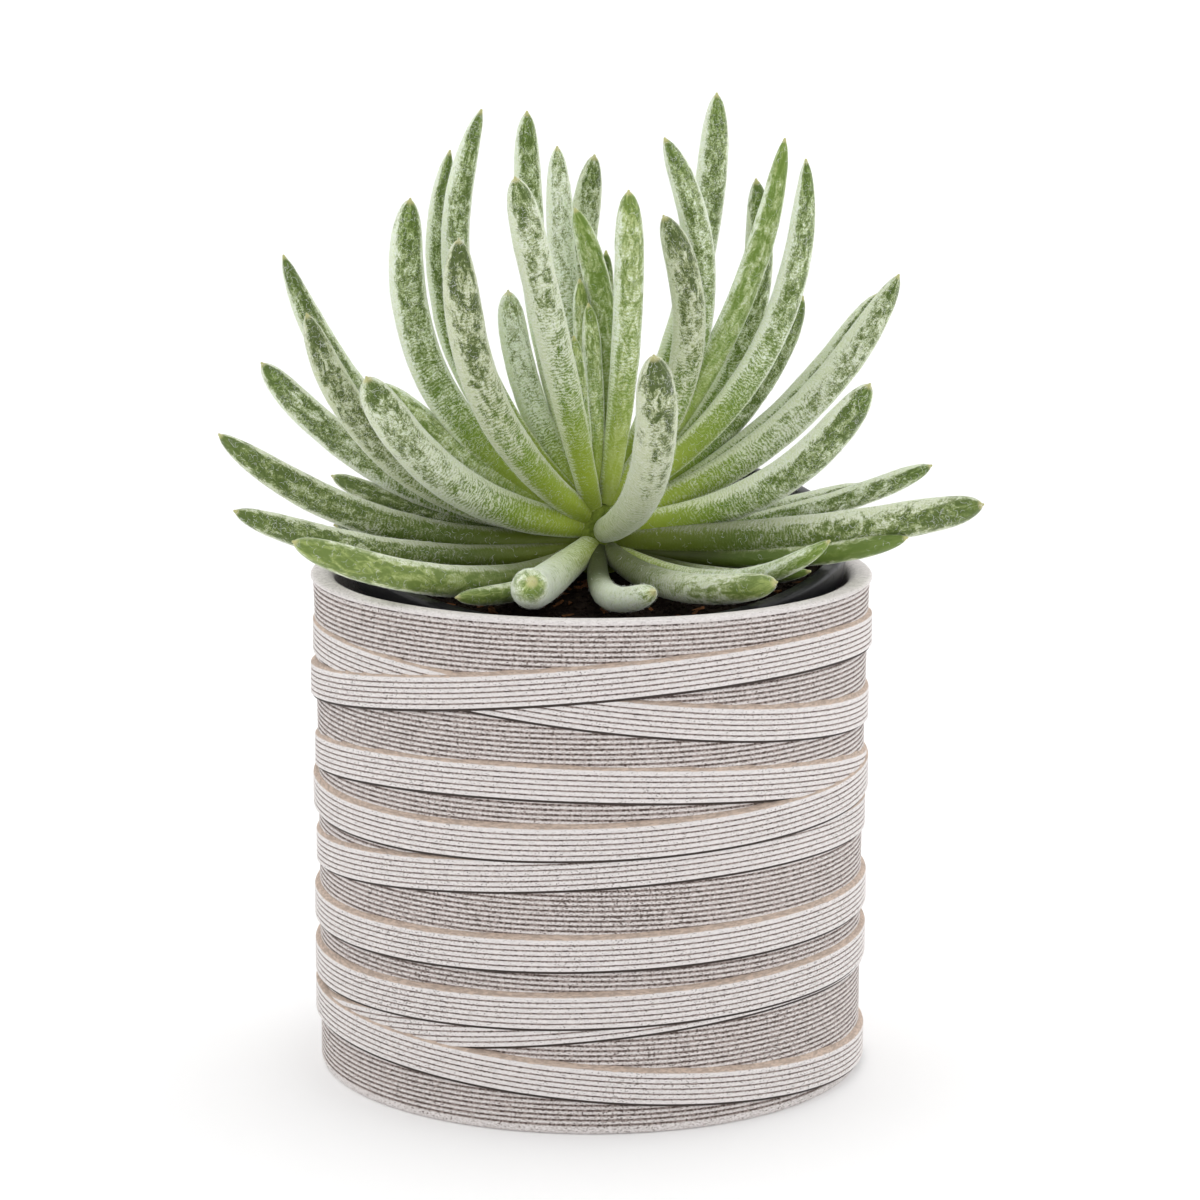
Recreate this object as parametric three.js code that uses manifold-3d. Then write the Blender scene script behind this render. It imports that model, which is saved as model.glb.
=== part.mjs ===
// Potted Senecio scaposus: a rosette of felted finger leaves in a black nursery pot,
// which leans inside a grooved cover pot wrapped in nine tilted, ridged bands.
// Millimetres, +Z up, origin at the middle of the cover pot's base, +Y away from the front.
import * as THREE from 'three';
import { mergeVertices } from 'three/addons/utils/BufferGeometryUtils.js';
import Module from 'manifold-3d';

const wasm = await Module();
wasm.setup();

// Cover pot
const POT_HEIGHT = 116;
const POT_FLOOR = 10;
const WALL_RADIUS = 63.5;
const WALL_FLARE = 1;
const MOUTH_RADIUS = 59.2;
const RIM_RADIUS = 65;
const RIM_ROUNDING = 0.6;
const LIP_HEIGHT = 1.6;
const FLOOR_FILLET = 3;
const FOOT_HEIGHT = 1.6;
const FOOT_ROUNDING = 1.2;
const WALL_RIBS = 16;
const RIB_DEPTH = 0.7;
const POT_SIDES = 36;

// Bands round the cover pot
const BAND_WIDTH = 7.2;
const BAND_RIDGES = 2;
const BAND_GROOVE = 0.4;
const BAND_LEDGE = 1;
const BAND_ROOT = 2.4;
const BAND_OVER = 1.2;
const BAND_UNDER = 0.7;
// Height of each band's middle at the left, the front and the right, and how far it stands out.
const BANDS = [
  [101.5, 95.5, 86, BAND_UNDER],
  [91, 102, 103, BAND_OVER],
  [74, 79.5, 70.5, BAND_UNDER],
  [65.5, 66.5, 70, BAND_OVER],
  [51.5, 60, 60, BAND_UNDER],
  [38.5, 41.5, 42.5, BAND_OVER],
  [25.5, 28.5, 30, BAND_OVER],
  [16, 12, 5.2, BAND_OVER],
  [14.5, 25.5, 28, BAND_UNDER],
];

// Nursery pot, measured from the soil's surface along its own axis
const LEAN = THREE.MathUtils.degToRad(12);
const PLANT_X = 1.5;
const PLANT_Y = 4;
const GAP = 0.3;
const NURSERY_LIP_RADIUS = 58;
const NURSERY_LIP_TOP = 8;
const NURSERY_LIP_FOOT = 1;
const NURSERY_WALL = 1.2;
const NURSERY_TOP_RADIUS = 55.6;
const NURSERY_BASE_RADIUS = 34;
const NURSERY_DEPTH = 101.4;
const NURSERY_ROUNDING = 0.6;
const NURSERY_SIDES = 36;
const NURSERY_INSIDE_TOP = NURSERY_TOP_RADIUS - NURSERY_WALL;
const NURSERY_INSIDE_BASE = NURSERY_BASE_RADIUS - NURSERY_WALL;
const NURSERY_FLOOR = NURSERY_WALL - NURSERY_DEPTH;
const DRAIN_RADIUS = 4;
const DRAIN_RING = 22;
const DRAIN_HOLES = 4;
const DRAIN_SIDES = 12;

// Soil: nearly level, with a shallow trough and then a low ring outside it, and a drop at its edge
const SOIL_EDGE_DROP = 1;
const SOIL_WAVE = 0.4;
const SOIL_TROUGH = 0.6;
const SOIL_RING = 0.9;
const STEM_HOLE_DEPTH = 22;

// Plant, measured from where its stem leaves the soil
const STEM_RADIUS = 6;
const STEM_TOP = 15;
const STEM_TAPER = 5;
const STEM_TIP_RADIUS = 3.6;
const STEM_SIDES = 12;
const LOWEST_ROOT = 4.5;
const HIGHEST_ROOT = 16;
const ROOT_INSET = 2;
const LEAF_SIDES = 7;
const LEAF_RINGS = 8;
const LEAF_ROOT_SHARE = 0.62;
const LEAF_BELLY = 0.6;
const LEAF_BLUNTNESS = 0.55;
const LEAF_CROWDING = 1.35;

// The leaves, oldest and lowest first. Turn is the compass direction in degrees (0 is right,
// 90 is away, 270 is towards the front), reach is how far out the tip stands and rise how high,
// bow is how far the middle sags below the straight line, swing how far it bends sideways,
// thick is the leaf's width at its belly, and a fuller leaf keeps that width nearer to its tip.
const LEAVES = [
  // Resting on the rims
  [204, 88, 26.5, 6, 0, 6.5, 4.5],
  [220, 86, 27, 6, 9, 7.2, 6],
  [189, 61, 13, 2, 0, 5, 4.5],
  [337, 75, 18.3, 4, 0, 5.4, 4.5],
  [310, 61, 14.5, 4, -5, 6.8, 6],
  [328, 56, 10.2, 4, 0, 3.6, 4.5],
  [323, 64, 21, 9, 0, 4.6, 4],
  [237, 57, 11, 2, 5, 4.6, 5],
  [283, 55, 15, 6, -5, 5.8, 6],
  [257, 63, 20.5, 6, -5, 8.8, 6],
  // Spreading
  [340, 91, 27, 3, 0, 8.2, 6],
  [192, 87, 38, 10, 0, 7.6, 3.4],
  [10, 64, 15, 2, 0, 5.6, 5.5],
  [7, 78, 21, 5, 0, 5.4, 6],
  [167, 64, 16, 4, 0, 5.2, 6],
  [75, 68, 19, 4, 0, 7, 4.5],
  [100, 72, 22, 6, 0, 7, 4.5],
  [125, 70, 19, 4, 0, 6.8, 4.5],
  [50, 68, 17, 3, 0, 6.4, 4.5],
  // Rising
  [285, 46, 66, 9, 3, 9.2, 6],
  [166, 81, 42, 11, 0, 7.4, 6],
  [156, 81, 64, 17, 0, 7.4, 2.8],
  [184, 66, 62, 15, 0, 7.6, 4],
  [162, 54, 38, 3, 0, 7, 5],
  [203, 56, 53, 9, 0, 9.4, 5.5],
  [350, 62, 48, 10, 0, 8.4, 5],
  [16, 72, 64, 11, 0, 7.8, 3.4],
  [25, 72, 56, 9, 0, 7, 4.5],
  [70, 60, 38, 9, 0, 7.2, 4.5],
  [88, 60, 36, 8, 0, 7.2, 4.5],
  [122, 52, 30, 6, 0, 7, 4.5],
  // Upright
  [160, 46, 83, 18, 0, 8.4, 6],
  [211, 36, 84, 10, 0, 8.6, 4.8],
  [150, 31, 104, 20, 0, 6.6, 3.4],
  [145, 42, 92, 20, 0, 6.4, 3.4],
  [130, 33, 58, 7, 0, 7, 6],
  [115, 40, 98, 12, 0, 6.6, 6],
  [112, 26, 93, 5, 0, 6.4, 5],
  [92, 35, 88, 12, 4, 7, 6],
  [35, 18, 99, 18, 0, 7, 4],
  [57, 50, 101, 13, 0, 7.4, 5.5],
  [30, 49, 95, 9, 0, 6.2, 2.8],
  [42, 49, 83, 20, 0, 7, 5],
  [17, 49, 93, 15, 0, 7, 2.8],
  [33, 57, 55, 10, 0, 6.2, 4.5],
  [24, 16, 82, 13, 0, 7.6, 5],
  [225, 26, 98, 0, 0, 7.8, 6],
  [110, 16, 81, 2, -6, 6.2, 4],
  [20, 7, 89, 2, 0, 6.8, 5.5],
  // Young, at the middle
  [85, 18, 70, 3, 0, 4.4, 4.5],
  [110, 13, 65, 1, 0, 4.4, 4.5],
  [110, 7, 61, -2, 0, 4.4, 4.5],
  [200, 6, 56, 0, 0, 3.8, 4.5],
];

const paint = (color, roughness) => new THREE.MeshStandardMaterial({ color, roughness, metalness: 0 });
const WHITEWASH = paint(0xd2ccca, 0.85);
const BLACK_PLASTIC = paint(0x1b1b1d, 0.45);
const POTTING_MIX = paint(0x2b1d14, 0.95);
const FELTED_LEAF = paint(0x8fa57c, 0.8);

// A closed three.js geometry as a solid that can be joined and cut.
function solid(geometry) {
  const bare = geometry.clone();
  bare.deleteAttribute('normal');
  bare.deleteAttribute('uv');
  const merged = mergeVertices(bare);
  return new wasm.Manifold(new wasm.Mesh({
    numProp: 3,
    vertProperties: new Float32Array(merged.attributes.position.array),
    triVerts: new Uint32Array(merged.index.array),
  }));
}

function meshOf(name, body, material) {
  const { vertProperties, triVerts } = body.getMesh();
  const geometry = new THREE.BufferGeometry();
  geometry.setAttribute('position', new THREE.BufferAttribute(vertProperties, 3));
  geometry.setIndex(new THREE.BufferAttribute(triVerts, 1));
  const mesh = new THREE.Mesh(geometry, material);
  mesh.name = name;
  return mesh;
}

// A profile of [radius, height] corners, anticlockwise, turned about Z.
function turned(corners, sides) {
  const points = corners.map(([radius, height]) => new THREE.Vector2(radius, height));
  return new THREE.LatheGeometry(points, sides).rotateX(Math.PI / 2);
}

// Corners of a ribbed wall between two heights: a crest at each end of every rib, a valley between.
function ribbed(bottom, top, ribs, crestAt, depth) {
  const corners = [];
  for (let i = 0; i <= 2 * ribs; i++) {
    const height = THREE.MathUtils.lerp(bottom, top, i / (2 * ribs));
    corners.push([crestAt(height) - (i % 2 ? depth : 0), height]);
  }
  return corners;
}

// The wall is straight below and flares a little towards the mouth.
function wallRadius(height) {
  return WALL_RADIUS + WALL_FLARE * (height / POT_HEIGHT) ** 4;
}

function coverPot() {
  const lipFoot = POT_HEIGHT - LIP_HEIGHT;
  const cup = [
    [0, 0],
    [WALL_RADIUS - FOOT_ROUNDING, 0],
    [WALL_RADIUS, FOOT_ROUNDING],
    ...ribbed(FOOT_HEIGHT, lipFoot, WALL_RIBS, wallRadius, RIB_DEPTH),
    [RIM_RADIUS, lipFoot + RIM_ROUNDING],
    [RIM_RADIUS, POT_HEIGHT - RIM_ROUNDING],
    [RIM_RADIUS - RIM_ROUNDING, POT_HEIGHT],
    [MOUTH_RADIUS + RIM_ROUNDING, POT_HEIGHT],
    [MOUTH_RADIUS, POT_HEIGHT - RIM_ROUNDING],
    [MOUTH_RADIUS, POT_FLOOR + FLOOR_FILLET],
    [MOUTH_RADIUS - FLOOR_FILLET, POT_FLOOR],
    [0, POT_FLOOR],
  ];
  return BANDS.reduce((pot, row) => pot.add(solid(band(...row))), solid(turned(cup, POT_SIDES)));
}

// One ridged ring, sheared so that its middle passes the three heights.
function band(left, front, right, proud) {
  const middle = (left + right) / 2;
  const crest = wallRadius(middle) + proud;
  const half = BAND_WIDTH / 2;
  const section = [
    [WALL_RADIUS - BAND_ROOT, -half],
    ...ribbed(-half, half, BAND_RIDGES, () => crest, BAND_GROOVE),
    [WALL_RADIUS - BAND_ROOT, half + BAND_LEDGE],
    [WALL_RADIUS - BAND_ROOT, -half],
  ];
  const acrossSlope = (right - left) / (2 * crest);
  const depthSlope = (middle - front) / crest;
  return turned(section, POT_SIDES)
    .applyMatrix4(new THREE.Matrix4().makeShear(0, acrossSlope, 0, depthSlope, 0, 0))
    .translate(0, 0, middle);
}

function nurseryPot() {
  const shell = [
    [0, -NURSERY_DEPTH],
    [NURSERY_BASE_RADIUS, -NURSERY_DEPTH],
    [NURSERY_TOP_RADIUS, NURSERY_LIP_FOOT],
    [NURSERY_LIP_RADIUS - NURSERY_ROUNDING, NURSERY_LIP_FOOT],
    [NURSERY_LIP_RADIUS, NURSERY_LIP_TOP - NURSERY_ROUNDING],
    [NURSERY_LIP_RADIUS - NURSERY_ROUNDING, NURSERY_LIP_TOP],
    [NURSERY_INSIDE_TOP + NURSERY_ROUNDING, NURSERY_LIP_TOP],
    [NURSERY_INSIDE_TOP, NURSERY_LIP_TOP - NURSERY_ROUNDING],
    [NURSERY_INSIDE_TOP, NURSERY_LIP_FOOT],
    [NURSERY_INSIDE_BASE, NURSERY_FLOOR],
    [0, NURSERY_FLOOR],
  ];
  let pot = solid(turned(shell, NURSERY_SIDES));
  for (let i = 0; i < DRAIN_HOLES; i++) {
    const angle = (i + 0.5) * 2 * Math.PI / DRAIN_HOLES;
    const drain = new THREE.CylinderGeometry(DRAIN_RADIUS, DRAIN_RADIUS, 4 * NURSERY_WALL, DRAIN_SIDES)
      .rotateX(Math.PI / 2)
      .translate(DRAIN_RING * Math.cos(angle), DRAIN_RING * Math.sin(angle), -NURSERY_DEPTH);
    pot = pot.subtract(solid(drain));
  }
  return pot;
}

// Radius of the soil's side, which follows the sloping inside of the nursery pot, clear of it.
function soilRadius(height) {
  const share = (height - NURSERY_FLOOR) / (NURSERY_LIP_FOOT - NURSERY_FLOOR);
  return THREE.MathUtils.lerp(NURSERY_INSIDE_BASE, NURSERY_INSIDE_TOP, share) - 1.1 * GAP;
}

function soil() {
  const base = NURSERY_FLOOR + GAP;
  const brim = soilRadius(-SOIL_EDGE_DROP);
  const hole = STEM_RADIUS + GAP;
  const fill = [
    [0, base],
    [soilRadius(base), base],
    [brim, -SOIL_EDGE_DROP],
    [SOIL_RING * brim, SOIL_WAVE],
    [SOIL_TROUGH * brim, -SOIL_WAVE],
    [hole, 0],
    [hole, -STEM_HOLE_DEPTH],
    [0, -STEM_HOLE_DEPTH],
  ];
  return solid(turned(fill, NURSERY_SIDES));
}

// Half-width of a leaf as a share of its belly, from its root at 0 to its tip at 1.
function leafOutline(along, full) {
  if (along < LEAF_BELLY) {
    return THREE.MathUtils.lerp(LEAF_ROOT_SHARE, 1, Math.sin(0.5 * Math.PI * along / LEAF_BELLY));
  }
  const past = (along - LEAF_BELLY) / (1 - LEAF_BELLY);
  return (1 - past ** full) ** LEAF_BLUNTNESS;
}

// A closed spindle bent along its own curve from the stem to the tip.
function leaf(rank, [turn, reach, rise, bow, swing, thick, full]) {
  const heading = THREE.MathUtils.degToRad(turn);
  const out = new THREE.Vector3(Math.cos(heading), Math.sin(heading), 0);
  const aside = new THREE.Vector3(-Math.sin(heading), Math.cos(heading), 0);
  const rootHeight = THREE.MathUtils.lerp(LOWEST_ROOT, HIGHEST_ROOT, rank / (LEAVES.length - 1));
  const root = out.clone().multiplyScalar(ROOT_INSET).setZ(rootHeight);
  const tip = out.clone().multiplyScalar(reach).setZ(rise);
  const chord = tip.clone().sub(root).normalize();
  const sag = new THREE.Vector3().crossVectors(chord, aside).negate();
  const knee = root.clone().lerp(tip, 0.5).addScaledVector(sag, 2 * bow).addScaledVector(aside, 2 * swing);
  const spine = new THREE.QuadraticBezierCurve3(root, knee, tip);

  const profile = [];
  for (let i = 0; i <= LEAF_RINGS; i++) {
    const along = 1 - (1 - i / LEAF_RINGS) ** LEAF_CROWDING;
    if (i === 0) profile.push(new THREE.Vector2(0, 0));
    profile.push(new THREE.Vector2(i === LEAF_RINGS ? 0 : 0.5 * thick * leafOutline(along, full), along));
  }
  const geometry = new THREE.LatheGeometry(profile, LEAF_SIDES);
  const place = geometry.attributes.position;
  for (let i = 0; i < place.count; i++) {
    const along = place.getY(i);
    const heart = spine.getPoint(along);
    const forward = spine.getTangent(along);
    const across = aside.clone().addScaledVector(forward, -aside.dot(forward)).normalize();
    const up = new THREE.Vector3().crossVectors(across, forward);
    heart.addScaledVector(across, place.getX(i)).addScaledVector(up, place.getZ(i));
    place.setXYZ(i, heart.x, heart.y, heart.z);
  }
  return geometry;
}

function rosette() {
  const stem = [
    [0, -STEM_HOLE_DEPTH + GAP],
    [STEM_RADIUS, -STEM_HOLE_DEPTH + GAP],
    [STEM_RADIUS, STEM_TOP - STEM_TAPER],
    [STEM_TIP_RADIUS, STEM_TOP],
    [0, STEM_TOP],
  ];
  return wasm.Manifold.union([
    solid(turned(stem, STEM_SIDES)),
    ...LEAVES.map((row, rank) => solid(leaf(rank, row))),
  ]);
}

const planted = new THREE.Group();
planted.rotation.x = LEAN;
planted.position.set(
  PLANT_X,
  PLANT_Y,
  POT_FLOOR + GAP + NURSERY_DEPTH * Math.cos(LEAN) + NURSERY_BASE_RADIUS * Math.sin(LEAN),
);
planted.add(
  meshOf('nursery_pot', nurseryPot(), BLACK_PLASTIC),
  meshOf('soil', soil(), POTTING_MIX),
  meshOf('rosette', rosette(), FELTED_LEAF),
);

const pottedSenecio = new THREE.Group();
pottedSenecio.add(meshOf('cachepot', coverPot(), WHITEWASH), planted);

export default pottedSenecio;
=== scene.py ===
"""Potted Senecio scaposus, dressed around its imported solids.

A rosette of felted finger leaves grows in a black nursery pot, which leans inside a
whitewashed cover pot wrapped in nine tilted, ridged bands. Sizes in the tables below are
millimetres; everything in Blender is in metres, +Z up, with +Y away from the front.
"""

import math

import bmesh
import bpy
from mathutils import Matrix, Vector


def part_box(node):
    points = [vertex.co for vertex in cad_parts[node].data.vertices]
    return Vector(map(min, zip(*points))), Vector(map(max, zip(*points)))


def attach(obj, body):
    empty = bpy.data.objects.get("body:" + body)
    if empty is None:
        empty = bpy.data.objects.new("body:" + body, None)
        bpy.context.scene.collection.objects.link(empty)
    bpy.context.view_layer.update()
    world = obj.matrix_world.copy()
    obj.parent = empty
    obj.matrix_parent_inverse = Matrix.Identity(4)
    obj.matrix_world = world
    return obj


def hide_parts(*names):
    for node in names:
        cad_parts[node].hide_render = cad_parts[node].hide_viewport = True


bl_info = {
    "name": "Potted Senecio",
    "version": (1, 0, 0),
    "blender": (4, 5, 0),
    "location": "3D View > Sidebar > Senecio",
    "description": "Builds a potted Senecio scaposus piece by piece",
    "category": "Object",
}

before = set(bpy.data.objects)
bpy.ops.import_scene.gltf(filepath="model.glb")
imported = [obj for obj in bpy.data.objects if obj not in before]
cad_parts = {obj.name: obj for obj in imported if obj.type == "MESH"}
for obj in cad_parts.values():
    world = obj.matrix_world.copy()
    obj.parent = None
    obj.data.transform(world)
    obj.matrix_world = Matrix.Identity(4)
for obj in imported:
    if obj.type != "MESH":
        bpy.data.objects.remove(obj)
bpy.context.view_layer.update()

MM = 0.001
POT_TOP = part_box("cachepot")[1].z / MM

# Cover pot
POT_FLOOR = 10
WALL_RADIUS = 63.5
WALL_FLARE = 1
MOUTH_RADIUS = 59.2
RIM_RADIUS = 65
LIP_HEIGHT = 1.6
FOOT_HEIGHT = 1.4
FOOT_ROUNDING = 1.2
FLOOR_FILLET = 3

# Bands round the cover pot
BAND_WIDTH = 7.2
BAND_LEDGE = 0.85
BAND_SHADE = 0.65
BAND_ROOT = 2.4
BAND_OVER = 1.2
BAND_UNDER = 0.7
# The fillet of painted shade under an upper band stands clear of the lower bands that it crosses
FILLETS = {BAND_OVER: 0.78, BAND_UNDER: 0.12}
# Height of each band's middle at the left, the front and the right, and how far it stands out.
BANDS = [
    (101.5, 95.5, 86, BAND_UNDER),
    (91, 102, 103, BAND_OVER),
    (74, 79.5, 70.5, BAND_UNDER),
    (65.5, 66.5, 70, BAND_OVER),
    (51.5, 60, 60, BAND_UNDER),
    (38.5, 41.5, 42.5, BAND_OVER),
    (25.5, 28.5, 30, BAND_OVER),
    (16, 12, 5.2, BAND_OVER),
    (14.5, 25.5, 28, BAND_UNDER),
]

# Nursery pot and soil, measured from the soil's surface along their own axis
LEAN = math.radians(12)
PLANT_X = 1.5
PLANT_Y = 4
GAP = 0.3
NURSERY_LIP_RADIUS = 58
NURSERY_LIP_TOP = 8
NURSERY_LIP_FOOT = 1
NURSERY_WALL = 1.2
NURSERY_TOP_RADIUS = 55.6
NURSERY_BASE_RADIUS = 34
NURSERY_DEPTH = 101.4
DRAIN_RADIUS = 4
DRAIN_RING = 22
DRAIN_HOLES = 4
STEM_HOLE_DEPTH = 22
SOIL_RINGS = 14
SOIL_SWELL = 0.5

# Plant, measured from where its stem leaves the soil
STEM_RADIUS = 6
STEM_TOP = 15
LOWEST_ROOT = 4.5
HIGHEST_ROOT = 16
ROOT_INSET = 2
LEAF_ROOT_SHARE = 0.62
LEAF_BELLY = 0.6
LEAF_BLUNTNESS = 0.55
TIP_LENGTH = 0.5
TIP_RADIUS = 0.35
RING_CROWDING = 1.35

# Felt hairs: the turn along each in radians, how fast it narrows, how far it arches and where
# its middle stands in that arch, and how far it rolls to either side in radians
HAIR_ARC = 2.6
HAIR_TAPER = 1.6
HAIR_LIFT = 0.6
HAIR_PEAK = 0.22
HAIR_ROLL = 0.7

# Colours that belong to no one setting
MOTTLED_FELT = (0.64, 0.67, 0.5)
THIN_FELT = (0.76, 0.8, 0.5)
CROWN_SHADE = (0.03, 0.04, 0.003)
# The stem's own green, kept dark as painted shade in the depth of the crown
STEM_DARK = (0.11, 0.15, 0.02)
STEM_LIGHT = (0.2, 0.26, 0.04)
DUST = (0.06, 0.055, 0.05)
SHEEN = (0.9, 0.96, 0.88, 1)
WHITE = (1, 1, 1, 1)

# How a leaf looks: how much felt covers it, how brown its mottling is, how yellow it has
# turned, how far the felt is painted thinner to a green stripe on its front and back as painted
# sheen, and how dark its lower half is painted as painted shade in the depth of the crown.
FINISHES = {
    "felted": (0.75, 0.4, 0.05, 0.8, 0.0),
    "silvery": (0.9, 0.0, 0.2, 0.4, 0.0),
    "grey": (0.78, 0.5, 0.0, 0.4, 0.0),
    "mottled": (0.8, 0.9, 0.0, 0.5, 0.0),
    "striped": (0.8, 0.1, 0.15, 0.85, 0.0),
    "smooth": (0.22, 0.0, 0.35, 0.0, 0.0),
    "light": (0.4, 0.0, 0.6, 0.2, 0.0),
    "dusky": (0.6, 0.7, 0.1, 0.8, 0.65),
    "yellowing": (0.28, 0.5, 0.45, 0.6, 0.75),
    "shaded": (0.1, 0.6, 0.1, 0.6, 0.95),
    "pale": (0.6, 0.0, 0.8, 0.0, 0.95),
}

# The leaves, oldest and lowest first: turn in degrees (0 is right, 90 away, 270 to the
# front), reach, rise, bow, swing, thickness, how full the tip is, and finish.
LOW_LEAVES = [
    (204, 88, 26.5, 6, 0, 6.5, 4.5, "dusky"),
    (220, 86, 27, 6, 9, 7.2, 6, "yellowing"),
    (189, 61, 13, 2, 0, 5, 4.5, "grey"),
    (337, 75, 18.3, 4, 0, 5.4, 4.5, "shaded"),
    (310, 61, 14.5, 4, -5, 6.8, 6, "yellowing"),
    (328, 56, 10.2, 4, 0, 3.6, 4.5, "shaded"),
    (323, 64, 21, 9, 0, 4.6, 4, "smooth"),
    (237, 57, 11, 2, 5, 4.6, 5, "yellowing"),
    (283, 55, 15, 6, -5, 5.8, 6, "pale"),
    (257, 63, 20.5, 6, -5, 8.8, 6, "light"),
    (340, 91, 27, 3, 0, 8.2, 6, "dusky"),
    (192, 87, 38, 10, 0, 7.6, 3.4, "dusky"),
    (10, 64, 15, 2, 0, 5.6, 5.5, "felted"),
    (7, 78, 21, 5, 0, 5.4, 6, "felted"),
    (167, 64, 16, 4, 0, 5.2, 6, "dusky"),
    (75, 68, 19, 4, 0, 7, 4.5, "felted"),
    (100, 72, 22, 6, 0, 7, 4.5, "striped"),
    (125, 70, 19, 4, 0, 6.8, 4.5, "felted"),
    (50, 68, 17, 3, 0, 6.4, 4.5, "shaded"),
]
RISING_LEAVES = [
    (285, 46, 66, 9, 3, 9.2, 6, "mottled"),
    (166, 81, 42, 11, 0, 7.4, 6, "felted"),
    (156, 81, 64, 17, 0, 7.4, 2.8, "felted"),
    (184, 66, 62, 15, 0, 7.6, 4, "mottled"),
    (162, 54, 38, 3, 0, 7, 5, "light"),
    (203, 56, 53, 9, 0, 9.4, 5.5, "grey"),
    (350, 62, 48, 10, 0, 8.4, 5, "felted"),
    (16, 72, 64, 11, 0, 7.8, 3.4, "grey"),
    (25, 72, 56, 9, 0, 7, 4.5, "felted"),
    (70, 60, 38, 9, 0, 7.2, 4.5, "felted"),
    (88, 60, 36, 8, 0, 7.2, 4.5, "striped"),
    (122, 52, 30, 6, 0, 7, 4.5, "felted"),
]
UPRIGHT_LEAVES = [
    (160, 46, 83, 18, 0, 8.4, 6, "striped"),
    (211, 36, 84, 10, 0, 8.6, 4.8, "mottled"),
    (150, 31, 104, 20, 0, 6.6, 3.4, "striped"),
    (145, 42, 92, 20, 0, 6.4, 3.4, "striped"),
    (130, 33, 58, 7, 0, 7, 6, "silvery"),
    (115, 40, 98, 12, 0, 6.6, 6, "striped"),
    (112, 26, 93, 5, 0, 6.4, 5, "silvery"),
    (92, 35, 88, 12, 4, 7, 6, "grey"),
    (35, 18, 99, 18, 0, 7, 4, "striped"),
    (57, 50, 101, 13, 0, 7.4, 5.5, "striped"),
    (30, 49, 95, 9, 0, 6.2, 2.8, "smooth"),
    (42, 49, 83, 20, 0, 7, 5, "felted"),
    (17, 49, 93, 15, 0, 7, 2.8, "striped"),
    (33, 57, 55, 10, 0, 6.2, 4.5, "felted"),
    (24, 16, 82, 13, 0, 7.6, 5, "mottled"),
    (225, 26, 98, 0, 0, 7.8, 6, "grey"),
    (110, 16, 81, 2, -6, 6.2, 4, "smooth"),
    (20, 7, 89, 2, 0, 6.8, 5.5, "light"),
    (85, 18, 70, 3, 0, 4.4, 4.5, "felted"),
    (110, 13, 65, 1, 0, 4.4, 4.5, "light"),
    (110, 7, 61, -2, 0, 4.4, 4.5, "light"),
    (200, 6, 56, 0, 0, 3.8, 4.5, "light"),
]
LEAVES = LOW_LEAVES + RISING_LEAVES + UPRIGHT_LEAVES

PLANTED = Matrix.Translation(
    Vector((
        PLANT_X,
        PLANT_Y,
        POT_FLOOR + GAP + NURSERY_DEPTH * math.cos(LEAN) + NURSERY_BASE_RADIUS * math.sin(LEAN),
    )) * MM
) @ Matrix.Rotation(LEAN, 4, "X")

# The camera's place, how far it looks down and is rolled in radians, and its focal length
CAMERA_AT = (2, -860, 268)
CAMERA_PITCH = math.radians(10.5)
CAMERA_ROLL = 0.004
CAMERA_LENS = 112.95


def length_setting(name, description, millimetres):
    """A length that the user can change."""
    return bpy.props.FloatProperty(
        name=name, description=description, default=millimetres * MM, unit="LENGTH")


def number_setting(name, description, default):
    """A plain number that the user can change."""
    return bpy.props.FloatProperty(name=name, description=description, default=default)


def count_setting(name, description, default, least=0):
    """A whole number that the user can change."""
    return bpy.props.IntProperty(name=name, description=description, default=default, min=least)


def colour_setting(name, description, default):
    """A colour that the user can change."""
    return bpy.props.FloatVectorProperty(
        name=name, description=description, subtype="COLOR", default=default, min=0, max=1)


class CoverPotSettings(bpy.types.PropertyGroup):
    """Sizes and colours of the cover pot."""

    sides: count_setting("Sides", "Facets round the pot", 192, 24)
    groove_pitch: length_setting(
        "Groove pitch", "Height from one groove of the wall to the next", 1.14)
    groove_depth: length_setting("Groove depth", "How deep the wall's grooves are", 0.22)
    ridges: count_setting("Ridges", "Ridges across each band", 6, 1)
    ridge_depth: length_setting(
        "Ridge depth", "How deep the grooves between a band's ridges are", 0.26)
    wobble: length_setting("Wobble", "How far the hand-made surface wanders", 0.14)
    wash: colour_setting("Wash", "Whitewash on the ridges and the rim", (0.825, 0.785, 0.772))
    clay: colour_setting("Clay", "Bare clay on the ledges", (0.43, 0.34, 0.28))
    # The grime colour stains the grooves, and half of it is the painted shade under each band
    grime_and_shade: colour_setting("Grime", "Dark stain left in the grooves", (0.08, 0.056, 0.047))


class NurseryPotSettings(bpy.types.PropertyGroup):
    """Sizes and colours of the nursery pot."""

    sides: count_setting("Sides", "Facets round the pot", 128, 24)
    plastic: colour_setting("Plastic", "Colour of the plastic", (0.017, 0.017, 0.02))


class SoilSettings(bpy.types.PropertyGroup):
    """Sizes and colours of the potting mix."""

    crumbs: number_setting("Crumbs", "Crumbs on each square metre", 520000)
    crumb_size: length_setting("Crumb size", "Width of a crumb", 1.5)
    chips: number_setting("Chips", "Bark chips on each square metre", 26000)
    chip_size: length_setting("Chip size", "Length of a bark chip", 4.2)
    seed: count_setting("Seed", "Which scatter of crumbs and chips", 4)
    mix: colour_setting("Mix", "Damp peat", (0.011, 0.007, 0.005))
    bark: colour_setting("Bark", "Composted bark", (0.2, 0.085, 0.035))


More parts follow.
